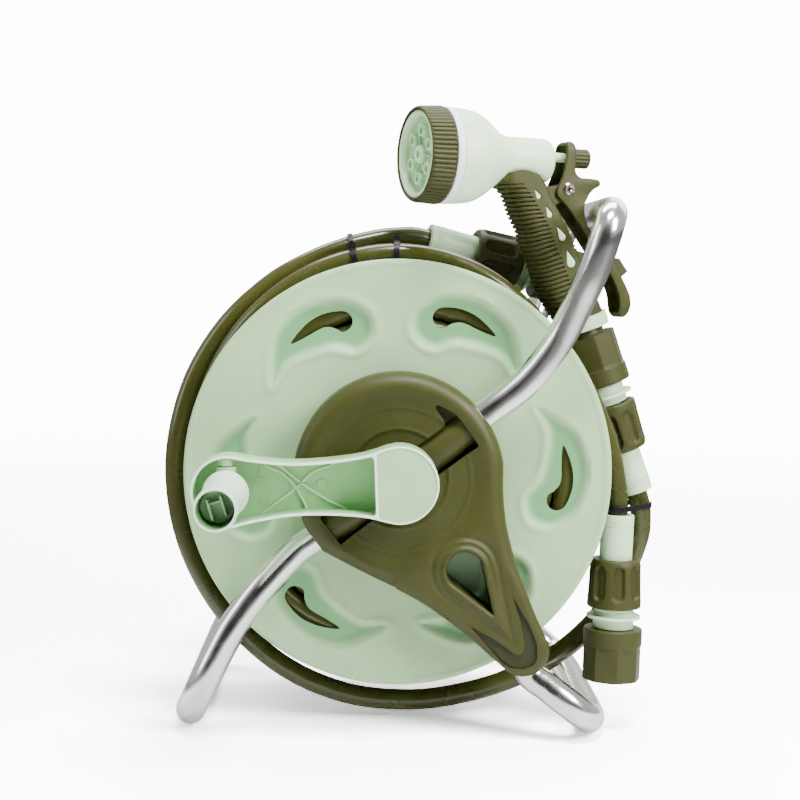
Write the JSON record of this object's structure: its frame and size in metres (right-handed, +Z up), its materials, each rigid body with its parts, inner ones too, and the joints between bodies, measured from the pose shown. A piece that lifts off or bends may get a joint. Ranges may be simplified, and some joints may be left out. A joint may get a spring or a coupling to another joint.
{
  "type": "portable hose reel",
  "caption": "Portable garden hose reel on a bent-tube stand: turning drum with folding crank, wound hose, leader hose, quick connectors and a spray gun parked on the handle.",
  "frame": {"origin": "on the floor, under the middle of the object's box measured without the loose hose ends, their connectors and their ties", "axes": "+Z up; the drum turns about Y; -Y is the side with the crank; +X is the side with the carrying handle and the spray gun"},
  "size_m": [0.3227, 0.3452, 0.4002],
  "materials": {
    "mint_plastic": "satin moulded plastic, muted mint green",
    "pale_mint_plastic": "satin moulded plastic, pale mint green",
    "olive_plastic": "fine-textured moulded plastic, olive green",
    "hose": "smooth glossy hose, dark olive green",
    "stainless_tube": "brushed stainless steel",
    "black_nylon": "black nylon",
    "black_rubber": "black rubber seal"
  },
  "bodies": {
    "stand": {"side_cover_front": "olive_plastic", "side_cover_rear": "olive_plastic", "handle_tube": "stainless_tube", "left_foot_tube": "stainless_tube", "right_foot_tube": "stainless_tube", "inlet_elbow": "olive_plastic", "inlet_seal": "black_rubber", "inlet_nipple": "mint_plastic", "tap_adapter_top": "olive_plastic", "nipple_top": "pale_mint_plastic", "hose_nut_top": "pale_mint_plastic", "tap_adapter_gun": "olive_plastic", "nipple_gun": "pale_mint_plastic", "hose_nut_gun": "pale_mint_plastic", "tap_adapter_side": "olive_plastic", "nipple_side": "pale_mint_plastic", "hose_nut_side": "pale_mint_plastic", "leader_hose": "hose", "hose_end": "hose", "cable_tie_top": "black_nylon", "cable_tie_edge": "black_nylon", "cable_tie_side": "black_nylon", "gun_body": "mint_plastic", "label_band": "pale_mint_plastic", "gun_grip": "olive_plastic", "gun_base_collar": "pale_mint_plastic", "gun_inlet_thread": "olive_plastic", "grip_inlay_1": "pale_mint_plastic", "grip_inlay_2": "pale_mint_plastic", "grip_inlay_3": "pale_mint_plastic", "grip_inlay_4": "pale_mint_plastic", "lever_pin": "stainless_tube"},
    "drum": {"drum_flange_front": "mint_plastic", "drum_flange_rear": "mint_plastic", "drum_core": "olive_plastic", "crank_shaft": "mint_plastic", "drum_water_pipe": "olive_plastic", "hose_inner_layers": "hose", "hose_winding": "hose", "crank_arm": "mint_plastic", "grip_hinge_pin": "stainless_tube"},
    "grip_mount": {"grip_spindle": "mint_plastic"},
    "grip": {"grip_sleeve": "pale_mint_plastic"},
    "trigger": {"trigger_lever": "olive_plastic"},
    "lever_lock": {"lock_slide": "olive_plastic"},
    "valve": {"valve_stem": "pale_mint_plastic"},
    "flow_adjuster": {"flow_nut": "olive_plastic"},
    "selector": {"selector_ring": "olive_plastic", "spray_face": "mint_plastic"},
    "sleeve_top": {"coupler_sleeve_top": "olive_plastic"},
    "sleeve_gun": {"coupler_sleeve_gun": "olive_plastic"},
    "sleeve_side": {"coupler_sleeve_side": "olive_plastic"}
  },
  "joints": [
    {"name": "drum_spin", "type": "hinge", "parent": "stand", "child": "drum", "pos_m": [-0.0052, 0.0404, 0.1665], "axis": [0, 1, 0], "continuous": true},
    {"name": "grip_fold", "type": "hinge", "parent": "drum", "child": "grip_mount", "pos_m": [-0.10999, -0.0878, 0.15991], "axis": [-0.0628, 0, 0.998], "range_deg": [0, 90]},
    {"name": "grip_spin", "type": "hinge", "parent": "grip_mount", "child": "grip", "pos_m": [-0.10999, -0.1496, 0.15991], "axis": [0, -1, 0], "continuous": true},
    {"name": "trigger_squeeze", "type": "hinge", "parent": "stand", "child": "trigger", "pos_m": [0.09694, -0.00723, 0.3519], "axis": [-0.3649, 0.9311, 0], "range_deg": [0, 2.5], "stiffness_Nm_per_rad": 0.6, "springref_deg": -8.59},
    {"name": "valve_slide", "type": "slide", "parent": "stand", "child": "valve", "axis": [0.9311, 0.3649, 0], "range_m": [0, 0.0009]},
    {"name": "flow_turn", "type": "hinge", "parent": "valve", "child": "flow_adjuster", "pos_m": [0.1164, 0.0004, 0.3721], "axis": [0.9311, 0.3649, 0], "range_deg": [-360, 360]},
    {"name": "selector_turn", "type": "hinge", "parent": "stand", "child": "selector", "pos_m": [0.00467, -0.04339, 0.3693], "axis": [0.9311, 0.3649, 0], "continuous": true},
    {"name": "lock_push", "type": "slide", "parent": "trigger", "child": "lever_lock", "axis": [0.5852, 0.2293, -0.7778], "range_m": [-0.003, 0.003]},
    {"name": "top_sleeve_slide", "type": "slide", "parent": "stand", "child": "sleeve_top", "axis": [-0.9499, -0.2236, 0.2182], "range_m": [0, 0.004], "stiffness_N_per_m": 600, "springref_m": -0.004},
    {"name": "gun_sleeve_slide", "type": "slide", "parent": "stand", "child": "sleeve_gun", "axis": [0.3426, 0.0275, -0.9391], "range_m": [0, 0.004], "stiffness_N_per_m": 600, "springref_m": -0.004},
    {"name": "side_sleeve_slide", "type": "slide", "parent": "stand", "child": "sleeve_side", "axis": [0.0037, 0, 1], "range_m": [0, 0.004], "stiffness_N_per_m": 600, "springref_m": -0.004}
  ],
  "couplings": [
    {"joint": "valve_slide", "follows": "trigger_squeeze", "m_per_rad": 0.0202}
  ]
}
